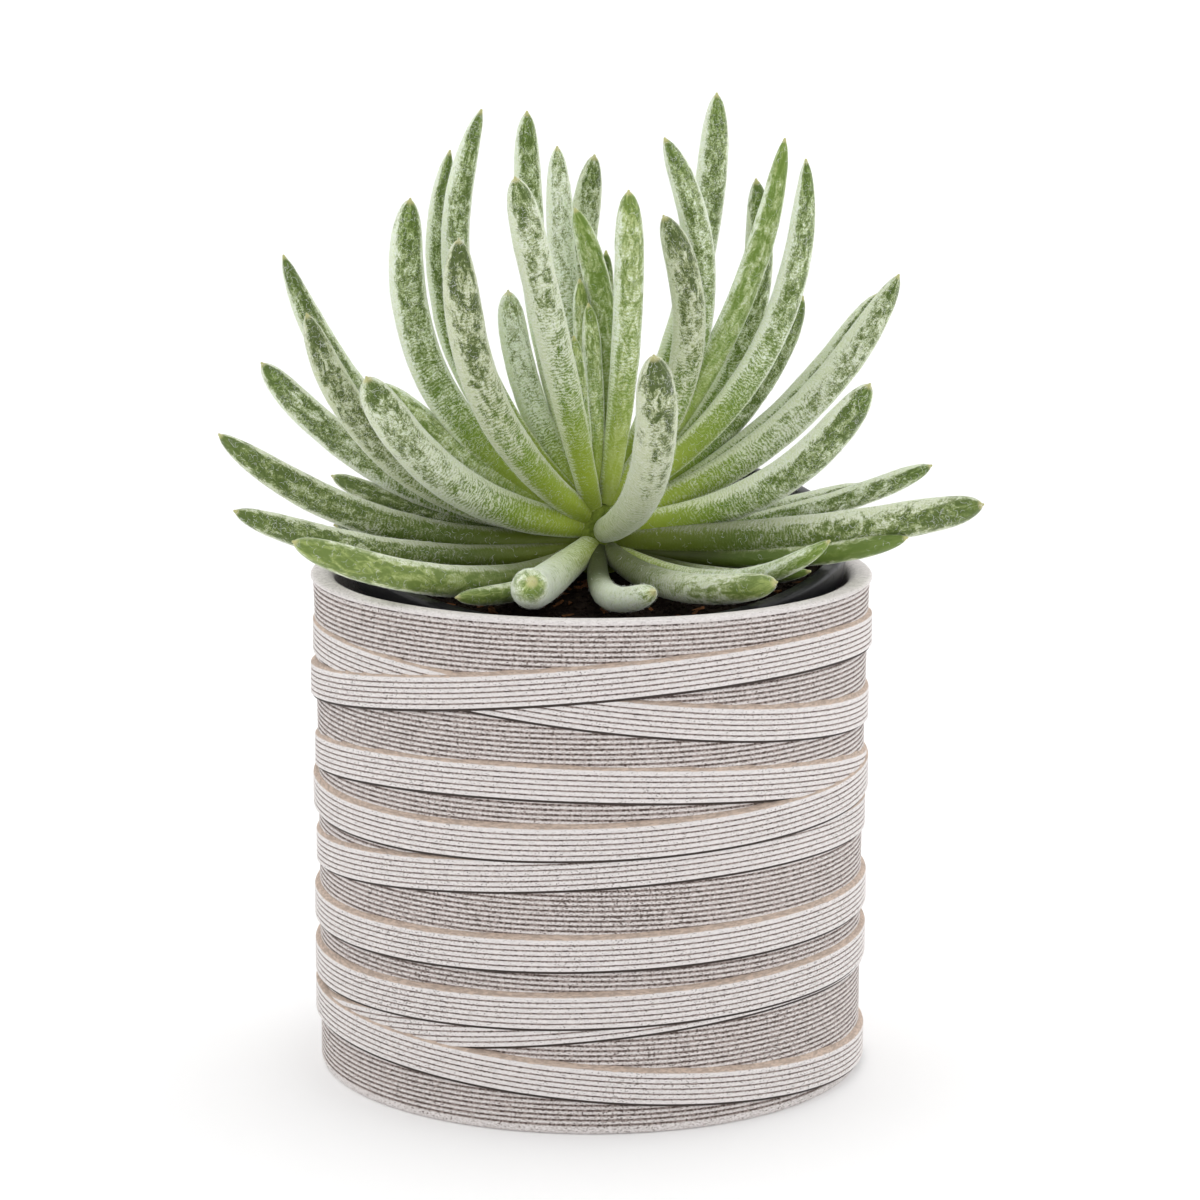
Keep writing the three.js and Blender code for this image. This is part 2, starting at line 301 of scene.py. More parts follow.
class PlantSettings(bpy.types.PropertyGroup):
    """Sizes and colours of the plant."""

    rings: count_setting("Rings", "Rings along each leaf", 44, 6)
    sides: count_setting("Sides", "Facets round each leaf", 26, 5)
    unevenness: length_setting("Unevenness", "How far a leaf's surface swells and sinks", 0.5)
    hairs: number_setting("Hairs", "Hairs on each square metre where the felt is thickest", 2300000)
    hair_length: length_setting("Hair length", "Length of a felt hair", 1.7)
    hair_width: length_setting("Hair width", "Width of a felt hair", 0.06)
    flesh: colour_setting("Flesh", "Green of the leaf under its felt", (0.135, 0.245, 0.018))
    root: colour_setting("Root", "Yellow-green of the leaf at its root", (0.35, 0.45, 0.04))
    olive: colour_setting("Olive", "Brown-green of the mottling", (0.1, 0.145, 0.028))
    yellow: colour_setting("Yellow", "Yellow of an ageing leaf", (0.52, 0.6, 0.2))
    felt: colour_setting("Felt", "Pale grey-green of the felt", (0.9, 0.96, 0.86))
    # The fuzz is partly the felt's own tone near the root and partly painted warm shade of the crown
    fuzz: colour_setting("Fuzz", "Yellower grey-green of the felt towards the root", (0.74, 0.82, 0.53))
    tip: colour_setting("Tip", "Cream of the leaf's hard point", (0.6, 0.57, 0.27))


class StageSettings(bpy.types.PropertyGroup):
    """The floor and the light."""

    floor: colour_setting("Floor", "Colour of the floor", (0.9, 0.9, 0.9))
    glow: number_setting("Glow", "Light from the floor, as from a lit table", 0.1)
    sky: number_setting("Sky", "Strength of the light from above, behind and the sides", 1.4)
    front: number_setting("Front", "Strength of the light from where the camera stands", 0.93)


class Wire:
    """A node's output. Sums made with it become Math nodes in the same tree."""

    def __init__(self, socket):
        self.socket = socket
        self.tree = socket.id_data

    def __add__(self, other):
        return calc("ADD", self, other)

    def __sub__(self, other):
        return calc("SUBTRACT", self, other)

    def __rsub__(self, other):
        return calc("SUBTRACT", other, self)

    def __mul__(self, other):
        return calc("MULTIPLY", self, other)

    def __truediv__(self, other):
        return calc("DIVIDE", self, other)


def feed(node, values):
    """Gives each named or numbered input of a node its value or wire."""
    for key, value in values.items():
        if isinstance(value, Wire):
            value.tree.links.new(value.socket, node.inputs[key])
        else:
            node.inputs[key].default_value = value


def add(tree, kind, values=None, **settings):
    """A new node, set up and fed."""
    node = tree.nodes.new(kind)
    for name, value in settings.items():
        setattr(node, name, value)
    feed(node, values or {})
    return node


def wire(tree, kind, values=None, output=0, **settings):
    """The wire from one output of a new node."""
    return Wire(add(tree, kind, values, **settings).outputs[output])


def home(*values):
    """The tree that the first wire among the values is in."""
    return next(value.tree for value in values if isinstance(value, Wire))


def calc(operation, *values):
    """A sum on numbers."""
    return wire(home(*values), "ShaderNodeMath", dict(enumerate(values)), operation=operation)


def vector(operation, *values):
    """A sum on vectors, with its vector result."""
    return wire(home(*values), "ShaderNodeVectorMath", dict(enumerate(values)), operation=operation)


def scaled(value, factor):
    """A vector times a number."""
    return wire(value.tree, "ShaderNodeVectorMath", {0: value, "Scale": factor}, operation="SCALE")


def lined_up(value, direction):
    """How far a vector lies along a direction."""
    return wire(value.tree, "ShaderNodeVectorMath", {0: value, 1: direction}, "Value",
                operation="DOT_PRODUCT")


def parts(value):
    """The X, Y and Z of a vector."""
    return [Wire(output) for output in add(value.tree, "ShaderNodeSeparateXYZ", {0: value}).outputs]


def joined(x, y, z):
    """A vector from its X, Y and Z."""
    return wire(home(x, y, z), "ShaderNodeCombineXYZ", {0: x, 1: y, 2: z})


def ramp(value, low, high, to_low=0.0, to_high=1.0):
    """The value eased from its low and high marks to two others."""
    marks = {"Value": value, "From Min": low, "From Max": high, "To Min": to_low, "To Max": to_high}
    return wire(value.tree, "ShaderNodeMapRange", marks, "Result", interpolation_type="SMOOTHSTEP")


def spread(value, gain):
    """A noise's swing either side of nought."""
    return (value - 0.5) * gain


def noise(place, scale, detail=3.0, roughness=0.5, distortion=0.0):
    """A noise texture's grey value."""
    values = {"Vector": place, "Scale": scale, "Detail": detail, "Roughness": roughness,
              "Distortion": distortion}
    return wire(place.tree, "ShaderNodeTexNoise", values)


def jolts(place, scale, detail, size):
    """Vectors that point every way, about half this size, from a noise texture's colour."""
    colour = wire(place.tree, "ShaderNodeTexNoise", {"Vector": place, "Scale": scale, "Detail": detail}, 1)
    return scaled(vector("SUBTRACT", colour, (0.5, 0.5, 0.5)), size)


def attribute(tree, name, data_type="FLOAT"):
    """A named attribute in a geometry tree."""
    return wire(tree, "GeometryNodeInputNamedAttribute", {"Name": name}, data_type=data_type)


def stored(geometry, name, value, data_type="FLOAT"):
    """The geometry with a value kept on its points."""
    values = {"Geometry": geometry, "Name": name, "Value": value}
    return wire(geometry.tree, "GeometryNodeStoreNamedAttribute", values, data_type=data_type,
                domain="POINT")


def moved(geometry, **move):
    """The geometry with its points at another Position or moved by an Offset."""
    return wire(geometry.tree, "GeometryNodeSetPosition", {"Geometry": geometry, **move})


def between(tree, low, high, seed, data_type="FLOAT"):
    """A random number, or a random vector, for each point."""
    first, output = {"FLOAT_VECTOR": (0, 0), "FLOAT": (2, 1)}[data_type]
    values = {first: low, first + 1: high, "Seed": seed}
    return wire(tree, "FunctionNodeRandomValue", values, output, data_type=data_type)


def geometry_tree(name, **sockets):
    """An empty geometry tree, and the wires from its inputs by name."""
    tree = bpy.data.node_groups.new(name, "GeometryNodeTree")
    for title, kind in {"Geometry": "Geometry", **sockets, "Material": "Material"}.items():
        tree.interface.new_socket(title, in_out="INPUT", socket_type="NodeSocket" + kind)
    tree.interface.new_socket("Geometry", in_out="OUTPUT", socket_type="NodeSocketGeometry")
    given = add(tree, "NodeGroupInput").outputs
    return tree, {output.name: Wire(output) for output in given}


def close_tree(tree, given, geometry, smooth=True):
    """Ends a tree with real geometry that carries its material."""
    shaded = wire(tree, "GeometryNodeSetShadeSmooth", {"Geometry": geometry, "Shade Smooth": smooth})
    real = wire(tree, "GeometryNodeRealizeInstances", {"Geometry": shaded})
    dressed = wire(tree, "GeometryNodeSetMaterial", {"Geometry": real, "Material": given["Material"]})
    add(tree, "NodeGroupOutput", {0: dressed})
    return tree


def turned_tree():
    """Turns a row of profile points about Z, shears each section, and lets it wobble."""
    tree, given = geometry_tree("Turned", Sides="Int", Wobble="Float")
    profile = given["Geometry"]
    columns = given["Sides"] + 1
    rows = wire(tree, "GeometryNodeAttributeDomainSize", {"Geometry": profile}, "Point Count",
                component="MESH")
    grid = wire(tree, "GeometryNodeMeshGrid", {"Vertices X": rows, "Vertices Y": columns}, "Mesh")
    index = wire(tree, "GeometryNodeInputIndex")
    row = calc("FLOOR", (index + 0.5) / columns)
    column = index - row * columns
    angle = column * math.tau / given["Sides"]

    def sampled(value, data_type="FLOAT"):
        values = {"Geometry": profile, "Value": value, "Index": row}
        return wire(tree, "GeometryNodeSampleIndex", values, data_type=data_type, domain="POINT")

    place = wire(tree, "GeometryNodeInputPosition")
    radius, _, height = parts(sampled(place, "FLOAT_VECTOR"))
    slope = attribute(tree, "slope", "FLOAT_VECTOR")
    across, deep, _ = parts(sampled(slope, "FLOAT_VECTOR"))
    x = radius * calc("COSINE", angle)
    y = radius * calc("SINE", angle)
    shape = grid
    for name in ("section", "groove", "ledge", "shade"):
        shape = stored(shape, name, sampled(attribute(tree, name)))
    shape = moved(shape, Position=joined(x, y, height + (x * across + y * deep)))
    joining = calc("GREATER_THAN", calc("FRACT", attribute(tree, "section")), 0.01)
    shape = wire(tree, "GeometryNodeDeleteGeometry", {"Geometry": shape, "Selection": joining},
                 domain="FACE")
    shape = wire(tree, "GeometryNodeMergeByDistance", {"Geometry": shape, "Distance": 0.002 * MM})
    shape = moved(shape, Offset=jolts(place, 45.0, 4.0, given["Wobble"]))
    return close_tree(tree, given, shape)


def leaf_tree():
    """Sweeps each leaf's round section along its spine and lets the surface swell a little."""
    tree, given = geometry_tree("Leaves", Sides="Int", Unevenness="Float")
    spines = wire(tree, "GeometryNodeMeshToCurve", {"Mesh": given["Geometry"]})
    up = attribute(tree, "up", "FLOAT_VECTOR")
    spines = wire(tree, "GeometryNodeSetCurveNormal", {"Curve": spines, "Normal": up}, mode="FREE")
    circle = wire(tree, "GeometryNodeCurvePrimitiveCircle",
                  {"Resolution": given["Sides"], "Radius": 1.0}, "Curve")
    place = wire(tree, "GeometryNodeInputPosition")
    ring = stored(circle, "around", vector("NORMALIZE", place), "FLOAT_VECTOR")
    girth = attribute(tree, "girth")
    swept = wire(tree, "GeometryNodeCurveToMesh",
                 {"Curve": spines, "Profile Curve": ring, "Scale": girth, "Fill Caps": True})
    swell = spread(noise(place, 110.0, 2.0), given["Unevenness"])
    taper = ramp(girth, 0.8 * MM, 2.5 * MM)
    normal = wire(tree, "GeometryNodeInputNormal")
    return close_tree(tree, given, moved(swept, Offset=scaled(normal, swell * taper)))


def felt_tree():
    """Lays short curled hairs over the leaves, more where the felt is thick."""
    tree, given = geometry_tree("Felt", Density="Float", Length="Float", Width="Float", Seed="Int")
    place = wire(tree, "GeometryNodeInputPosition")
    cover = attribute(tree, "felt") * ramp(noise(place, 260.0, 3.0), 0.38, 0.62, 0.25, 1.0)
    along = attribute(tree, "along")
    # Fewer hairs where the leaf's lower half carries painted crown shade
    hidden = attribute(tree, "dark") * ramp(along, 0.3, 0.7, 1.0, 0.0)
    past_root = ramp(along, 0.08, 0.4) * (1.0 - hidden)
    roots = add(tree, "GeometryNodeDistributePointsOnFaces",
                {"Mesh": given["Geometry"], "Density": cover * past_root * given["Density"],
                 "Seed": given["Seed"]},
                distribute_method="RANDOM").outputs
    strip = wire(tree, "GeometryNodeMeshGrid",
                 {"Size X": 1.0, "Size Y": 1.0, "Vertices X": 4, "Vertices Y": 2}, "Mesh")
    # Each hair is a flat strip bent into most of a half circle, which lifts off in the middle
    run, off, _ = parts(place)
    angle = run * HAIR_ARC
    bend = given["Length"] / HAIR_ARC
    narrow = 1.0 - calc("ABSOLUTE", run) * HAIR_TAPER
    radius = bend + off * given["Width"] * narrow
    lift = (HAIR_PEAK - run * run) * (given["Length"] * HAIR_LIFT)
    hair = moved(strip, Position=joined(
        radius * calc("SINE", angle), radius * calc("COSINE", angle) - bend, lift))
    facing = Wire(roots["Rotation"])
    turns = (((0.0, 0.0, 1.0), 0.0, math.tau), ((1.0, 0.0, 0.0), -HAIR_ROLL, HAIR_ROLL))
    for seed, (axis, low, high) in enumerate(turns, 1):
        turn = wire(tree, "FunctionNodeAxisAngleToRotation",
                    {"Axis": axis, "Angle": between(tree, low, high, seed)})
        facing = wire(tree, "FunctionNodeRotateRotation", {"Rotation": facing, "Rotate By": turn},
                      rotation_space="LOCAL")
    size = between(tree, (0.5, 0.7, 0.5), (1.3, 1.3, 1.6), 3, "FLOAT_VECTOR")
    laid = wire(tree, "GeometryNodeInstanceOnPoints",
                {"Points": Wire(roots["Points"]), "Instance": hair, "Rotation": facing, "Scale": size})
    return close_tree(tree, given, laid)


def scatter_tree():
    """Strews lumps over the upward faces of the soil, each one bent out of shape."""
    tree, given = geometry_tree(
        "Scatter", Density="Float", Size="Float", Slim="Float", Seed="Int", Hole="Float")
    place = wire(tree, "GeometryNodeInputPosition")
    x, y, z = parts(place)
    level = calc("GREATER_THAN", parts(wire(tree, "GeometryNodeInputNormal"))[2], 0.8)
    high = calc("GREATER_THAN", z, -3 * MM)
    clear = calc("GREATER_THAN", calc("SQRT", x * x + y * y), given["Hole"])
    spots = wire(tree, "GeometryNodeDistributePointsOnFaces",
                 {"Mesh": given["Geometry"], "Selection": level * high * clear,
                  "Density": given["Density"], "Seed": given["Seed"]},
                 "Points", distribute_method="RANDOM")
    lump = wire(tree, "GeometryNodeMeshIcoSphere", {"Radius": 0.5, "Subdivisions": 1}, "Mesh")
    lump = moved(lump, Offset=jolts(place, 2.2, 2.0, 1.1))
    tilt = between(tree, (-0.5, -0.5, 0.0), (0.5, 0.5, math.tau), 1, "FLOAT_VECTOR")
    turn = wire(tree, "FunctionNodeEulerToRotation", {0: tilt})
    slim = given["Slim"]
    least = joined(0.5, slim * 0.5, slim * 0.4)
    most = joined(1.5, slim * 1.4, slim * 1.1)
    size = scaled(between(tree, least, most, 2, "FLOAT_VECTOR"), given["Size"])
    strewn = wire(tree, "GeometryNodeInstanceOnPoints",
                  {"Points": spots, "Instance": lump, "Rotation": turn, "Scale": size})
    return close_tree(tree, given, strewn, smooth=False)


def placed(name, data):
    """A new object in the scene."""
    made = bpy.data.objects.new(name, data)
    bpy.context.scene.collection.objects.link(made)
    return made


def freeze(piece, **options):
    """Puts the result of the piece's modifiers in its mesh and removes them."""
    depsgraph = bpy.context.evaluated_depsgraph_get()
    made = bpy.data.meshes.new_from_object(piece.evaluated_get(depsgraph), depsgraph=depsgraph, **options)
    piece.modifiers.clear()
    piece.data = made


def dressed(name, mesh, tree, values):
    """A new object whose mesh is the result of the tree run on the given mesh."""
    piece = placed(name, mesh)
    modifier = piece.modifiers.new(tree.name, "NODES")
    modifier.node_group = tree
    for item in tree.interface.items_tree:
        if item.in_out == "INPUT" and item.name in values:
            modifier[item.identifier] = values[item.name]
    freeze(piece, preserve_all_data_layers=True)
    piece.data.name = name
    return piece


def face_outwards(mesh):
    """Turns a closed mesh's faces outwards."""
    shape = bmesh.new()
    shape.from_mesh(mesh)
    if shape.calc_volume(signed=True) < 0:
        bmesh.ops.reverse_faces(shape, faces=shape.faces)
        shape.to_mesh(mesh)
    shape.free()


def keep(piece, node):
    """The piece stands for a solid, which is hidden, and rides with the root."""
    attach(piece, "root")
    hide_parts(node)


def profile_mesh(name, sections):
    """Profile points in order, each with its section's number and slope and its own tints.

    A section is (corners, slope across, slope deep), a corner (radius, height, tints) in
    millimetres, and tints a dict of groove, ledge and shade, where they aren't nought.
    """
    corners = [(corner, number, slope) for number, (points, *slope) in enumerate(sections)
               for corner in points]
    mesh = bpy.data.meshes.new(name)
    mesh.from_pydata([(radius * MM, 0, height * MM) for (radius, height, _), _, _ in corners], [], [])
    keep_facts(mesh, [
        {"slope": Vector((*slope, 0)), "section": number,
         **{tint: tints.get(tint, 0) for tint in ("groove", "ledge", "shade")}}
        for (_, _, tints), number, slope in corners
    ])
    return mesh


def keep_facts(mesh, facts):
    """Stores a dict of numbers and vectors for each point as named attributes."""
    for name, first in facts[0].items():
        if isinstance(first, Vector):
            data = mesh.attributes.new(name, "FLOAT_VECTOR", "POINT").data
            data.foreach_set("vector", [number for fact in facts for number in fact[name]])
        else:
            data = mesh.attributes.new(name, "FLOAT", "POINT").data
            data.foreach_set("value", [fact[name] for fact in facts])


def turned(name, sections, sides, wobble, material):
    """A solid of revolution, or several sheared rings, with faces outwards."""
    values = {"Sides": sides, "Wobble": wobble, "Material": material}
    piece = dressed(name, profile_mesh(name, sections), turned_tree(), values)
    face_outwards(piece.data)
    return piece


def tinted(corners, **tints):
    """Corners that all have the same tints, or none."""
    return [(radius, height, tints) for radius, height in corners]


def wall_radius(height):
    """The wall is straight below and flares a little towards the mouth."""
    return WALL_RADIUS + WALL_FLARE * (height / POT_TOP) ** 4


def grooved(bottom, top, count, crest_at, depth, flat):
    """Corners up a grooved face: each ridge is flat for a share of the pitch, then a groove."""
    pitch = (top - bottom) / count
    corners = []
    for i in range(count):
        foot = bottom + i * pitch
        crest = crest_at(foot)
        corners.append((crest, foot + 0.1 * pitch, {}))
        corners.append((crest, foot + (0.1 + flat) * pitch, {}))
        if i < count - 1:
            corners.append((crest - depth, foot + (0.6 + 0.5 * flat) * pitch, {"groove": 1}))
    return corners


def tinted_material(name):
    """A new material with its shader and the object's own coordinates."""
    material = bpy.data.materials.new(name)
    material.use_nodes = True
    tree = material.node_tree
    tree.nodes.clear()
    shader = add(tree, "ShaderNodeBsdfPrincipled")
    add(tree, "ShaderNodeOutputMaterial", {"Surface": Wire(shader.outputs[0])})
    return material, shader, wire(tree, "ShaderNodeTexCoord", output="Object")


def painted(tree, *names):
    """The named mesh attributes as numbers in a shader tree."""
    return [wire(tree, "ShaderNodeAttribute", output="Fac", attribute_name=name) for name in names]


def toned(colour, factor):
    """A colour made darker or lighter."""
    return [channel * factor for channel in colour]


def blend(share, below, above, mode="MIX"):
    """Two colours mixed by a share."""
    first, second = (value if isinstance(value, Wire) else (*value, 1) for value in (below, above))
    return wire(home(share, below, above), "ShaderNodeMix", {"Factor": share, 6: first, 7: second}, 2,
                data_type="RGBA", blend_type=mode)


def relief(height, distance, strength):
    """A normal for fine bumps of this height, with their depth in metres."""
    values = {"Height": height, "Distance": distance, "Strength": strength}
    return wire(height.tree, "ShaderNodeBump", values, "Normal")


def whitewash_material(name, settings, start, grain):
    """Matt clay with a dark stain in its grooves and whitewash rubbed over its ridges.

    The stain starts where the groove is this deep, and grain breaks it up.
    """
    material, shader, place = tinted_material(name)
    groove, ledge, shade = painted(place.tree, "groove", "ledge", "shade")
    dashes = noise(vector("MULTIPLY", place, (1.0, 1.0, 5.0)), 600.0, 3.0, 0.65)
    grains = noise(vector("MULTIPLY", place, (1.0, 1.0, 2.0)), 1700.0, 2.0, 0.6)
    cloudy = noise(place, 30.0, 3.0)
    # The lip is wiped smooth
    smooth = ramp(parts(place)[2], (POT_TOP - 2) * MM, (POT_TOP - 1) * MM, 1.0, 0.35)
    uneven = spread(dashes, 2.2) + spread(grains, grain)
    uneven = uneven * ramp(groove, 0.0, 0.8, smooth * 0.5, 1.0)
    stain = ramp(groove + uneven, start, start + 0.55)
    # Whitewash that ran down fills the grooves here and there
    runs = noise(vector("MULTIPLY", place, (1.0, 1.0, 0.2)), 1500.0, 2.0, 0.6)
    stain = stain * ramp(runs, 0.38, 0.54, 0.15, 1.0)
    specks = ramp(grains + spread(cloudy, 0.3), 0.6, 0.68, 0.0, 0.35 * grain) * smooth
    washed = blend(ramp(dashes, 0.35, 0.6), toned(settings.wash, 0.86), settings.wash)
    halo = ramp(groove + spread(grains, 1.2), start - 0.45, start + 0.2, 0.0, 0.75) * smooth
    washed = blend(halo, washed, toned(settings.grime_and_shade, 3.2))
    tint = blend(calc("MAXIMUM", stain, specks), washed, settings.grime_and_shade)
    bare = blend(ramp(dashes, 0.4, 0.62), settings.clay, toned(settings.clay, 1.45))
    tint = blend(ramp(ledge + spread(dashes, 1.2), 0.45, 0.8), tint, bare)
    # Painted shade: a dark line painted on the fillet under each band
    tint = blend(ramp(shade + spread(dashes, 1.0), 0.45, 0.7), tint, toned(settings.grime_and_shade, 0.5))
    feed(shader, {"Base Color": tint, "Roughness": 0.88,
                  "Normal": relief(grains - stain * 0.6, 0.2 * MM, 0.7)})
    return material


def plastic_material(settings):
    """Black thermoformed plastic, with a little dust and handling marks."""
    material, shader, place = tinted_material("black plastic")
    dusty = ramp(noise(place, 140.0, 5.0, 0.65), 0.5, 0.75)
    feed(shader, {"Base Color": blend(dusty * 0.25, settings.plastic, DUST),
                  "Roughness": ramp(dusty, 0.0, 1.0, 0.32, 0.6), "Specular IOR Level": 0.25,
                  "Normal": relief(noise(place, 900.0, 3.0), 0.05 * MM, 0.4)})
    return material


def soil_material(name, dark, light):
    """Damp crumbs or bark: two browns in fine uneven patches."""
    material, shader, place = tinted_material(name)
    mottle = noise(place, 420.0, 5.0, 0.7)
    grain = noise(vector("MULTIPLY", place, (1.0, 3.0, 1.0)), 1400.0, 3.0)
    mixed = blend(ramp(mottle, 0.35, 0.68), dark, light)
    tint = blend(ramp(grain, 0.4, 0.75, 0.0, 0.5), mixed, toned(dark, 0.4))
    feed(shader, {"Base Color": tint, "Roughness": 0.9, "Specular IOR Level": 0.1,
                  "Normal": relief(grain, 0.3 * MM, 0.8)})
    return material


def leaf_material(settings):
    """Fleshy green under a felt of fine hairs, with a yellow-green root and a cream point."""
    material, shader, place = tinted_material("felted leaf")
    tree = place.tree
    along, run, to_tip, leaf = painted(tree, "along", "run", "to_tip", "leaf")
    felt, brown, yellow, stripe, dark = painted(tree, "felt", "brown", "yellow", "stripe", "dark")
    around = wire(tree, "ShaderNodeAttribute", output="Vector", attribute_name="around")
    # Coordinates on the leaf laid out straight, in metres, shifted from leaf to leaf
    side, up, _ = parts(scaled(around, 3.8 * MM))
    skin = joined(run, side, up + leaf * 0.37)

    blotches = noise(vector("MULTIPLY", skin, (0.6, 1.0, 1.0)), 480.0, 3.0, 0.6, 0.8)
    curls = noise(skin, 1300.0, 3.0, 0.65, 2.0)
    arcs = wire(tree, "ShaderNodeTexWave",
                {"Vector": skin, "Scale": 360.0, "Distortion": 16.0, "Detail": 3.0,
                 "Detail Scale": 0.8, "Detail Roughness": 0.65}, "Fac")
    strands = wire(tree, "ShaderNodeMix", {0: ramp(along, 0.35, 0.8, 0.26, 0.06), 2: curls, 3: arcs})
    # The felt is thin at the root and the tip. As painted sheen it is painted thicker on the flanks
    # that turn from the front and back, and thinner on the front and back of a striped leaf
    normal = wire(tree, "ShaderNodeTexCoord", output="Normal")
    flat = ramp(calc("ABSOLUTE", lined_up(normal, (0.25, -0.97, 0.0))), 0.3, 0.9)
    level = felt * ramp(along, 0.06, 0.55, 0.24, 1.0) + ramp(flat, 0.1, 0.9, 0.45, 0.0)
    thinner = ramp(brown, 0.0, 1.0, 0.1, 0.25) * ramp(along, 0.5, 0.92)
    thinner = thinner + ramp(along, 0.88, 0.98, 0.0, 0.35)
    level = level - (flat * stripe * 0.62 + thinner)
    gain = ramp(brown, 0.0, 1.0, 2.1, 3.4) * ramp(along, 0.25, 0.75, 0.4, 1.0)
    level = level + spread(blotches, 1.0) * gain
    rough = ramp(felt, 0.1, 0.6, 0.4, 1.0) * ramp(along, 0.2, 0.7, 0.9, 1.0)
    level = level + spread(strands, 2.3) * rough
    coat = ramp(level, -0.16, 0.9, 0.0, 0.97)

    green = blend(ramp(along, 0.06, 0.45), settings.root, settings.flesh)
    green = blend(brown * ramp(along, 0.3, 0.65), green, settings.olive)
    green = blend(yellow * ramp(blotches, 0.42, 0.6, 0.3, 1.0), green, settings.yellow)
    spots = ramp(curls + spread(blotches, 0.8), 0.46, 0.58, 0.75, 0.0)
    green = blend(spots * felt * ramp(along, 0.3, 0.8), green, toned(settings.olive, 0.5))
    # Towards the root the felt turns to the fuzz colour: partly the felt's own yellower tone, partly
    # painted warm shade of the crown
    full = blend(ramp(along, 0.15, 0.6), settings.fuzz, settings.felt)
    full = blend(brown * 0.85, full, MOTTLED_FELT)
    thin = blend(1.0, full, THIN_FELT, "MULTIPLY")
    dense = ramp(strands, 0.4, 0.6, 0.35, 1.0) * ramp(coat, 0.3, 0.95)
    tint = blend(coat, green, blend(dense, thin, full))
    # Painted shade: a leaf's lower half deep in the crown, and every leaf's root, darkened towards the
    # crown shade, where the sheen fades too
    deep = dark * ramp(along, 0.3, 0.7, 1.0, 0.0)
    deep = calc("MAXIMUM", deep, ramp(along, 0.02, 0.12, 0.35, 0.0))
    tint = blend(deep, tint, CROWN_SHADE)
    tint = blend(ramp(to_tip, 0.0, 0.9 * MM, 0.85, 0.0), tint, settings.tip)
    feed(shader, {"Base Color": tint, "Roughness": ramp(coat, 0.0, 1.0, 0.42, 0.85),
                  "Specular IOR Level": 0.35, "Subsurface Weight": 0.1,
                  "Subsurface Radius": (0.6, 1.0, 0.25), "Subsurface Scale": 2.0 * MM,
                  "Sheen Weight": ramp(deep, 0.0, 0.8, 0.8, 0.1), "Sheen Roughness": 0.35,
                  "Sheen Tint": SHEEN, "Normal": relief(level, 0.12 * MM, 0.5)})
    return material


def hair_material(settings):
    """Fine pale hairs, a little uneven in colour."""
    material, shader, place = tinted_material("felt hairs")
    bright = [min(1, channel) for channel in toned(settings.felt, 1.15)]
    tint = blend(ramp(noise(place, 500.0, 2.0), 0.35, 0.65), toned(settings.felt, 0.8), bright)
    feed(shader, {"Base Color": tint, "Roughness": 0.7})
    return material


def floor_material(settings):
    """Plain pale floor with the faintest clouding."""
    material, shader, place = tinted_material("pale floor")
    feed(shader, {"Base Color": blend(noise(place, 3.0, 2.0), settings.floor, toned(settings.floor, 0.99)),
                  "Roughness": 0.9, "Emission Color": WHITE, "Emission Strength": settings.glow})
    return material


class SENECIO_OT_stage(bpy.types.Operator):
    """Makes the floor, the soft light and the camera"""

    bl_idname = "senecio.stage"
    bl_label = "Stage"

    def execute(self, context):
        settings = context.scene.senecio_stage
        size = 30
        mesh = bpy.data.meshes.new("floor")
        mesh.from_pydata([(-size, -size, 0), (size, -size, 0), (size, size, 0), (-size, size, 0)],
                         [], [(0, 1, 2, 3)])
        mesh.materials.append(floor_material(settings))
        placed("floor", mesh)

        world = bpy.data.worlds.new("studio")
        world.use_nodes = True
        towards = wire(world.node_tree, "ShaderNodeTexCoord", output="Generated")
        forward = lined_up(towards, (0.15, -0.96, 0.25))
        strength = ramp(forward, -0.1, 0.8, settings.sky, settings.front)
        # A little more light from the right
        strength = strength * ramp(parts(towards)[0], -1.0, 1.0, 0.88, 1.06)
        feed(world.node_tree.nodes["Background"], {"Color": WHITE, "Strength": strength})
        context.scene.world = world
        context.scene.view_settings.view_transform = "Standard"

        lens = bpy.data.cameras.new("camera")
        lens.lens = CAMERA_LENS
        lens.sensor_width = 36
        lens.clip_start = 0.05
        lens.clip_end = 100
        camera = placed("camera", lens)
        aim = Matrix.Rotation(math.pi / 2 - CAMERA_PITCH, 4, "X") @ Matrix.Rotation(CAMERA_ROLL, 4, "Z")
        camera.matrix_world = Matrix.Translation(Vector(CAMERA_AT) * MM) @ aim
        context.scene.camera = camera
        return {"FINISHED"}


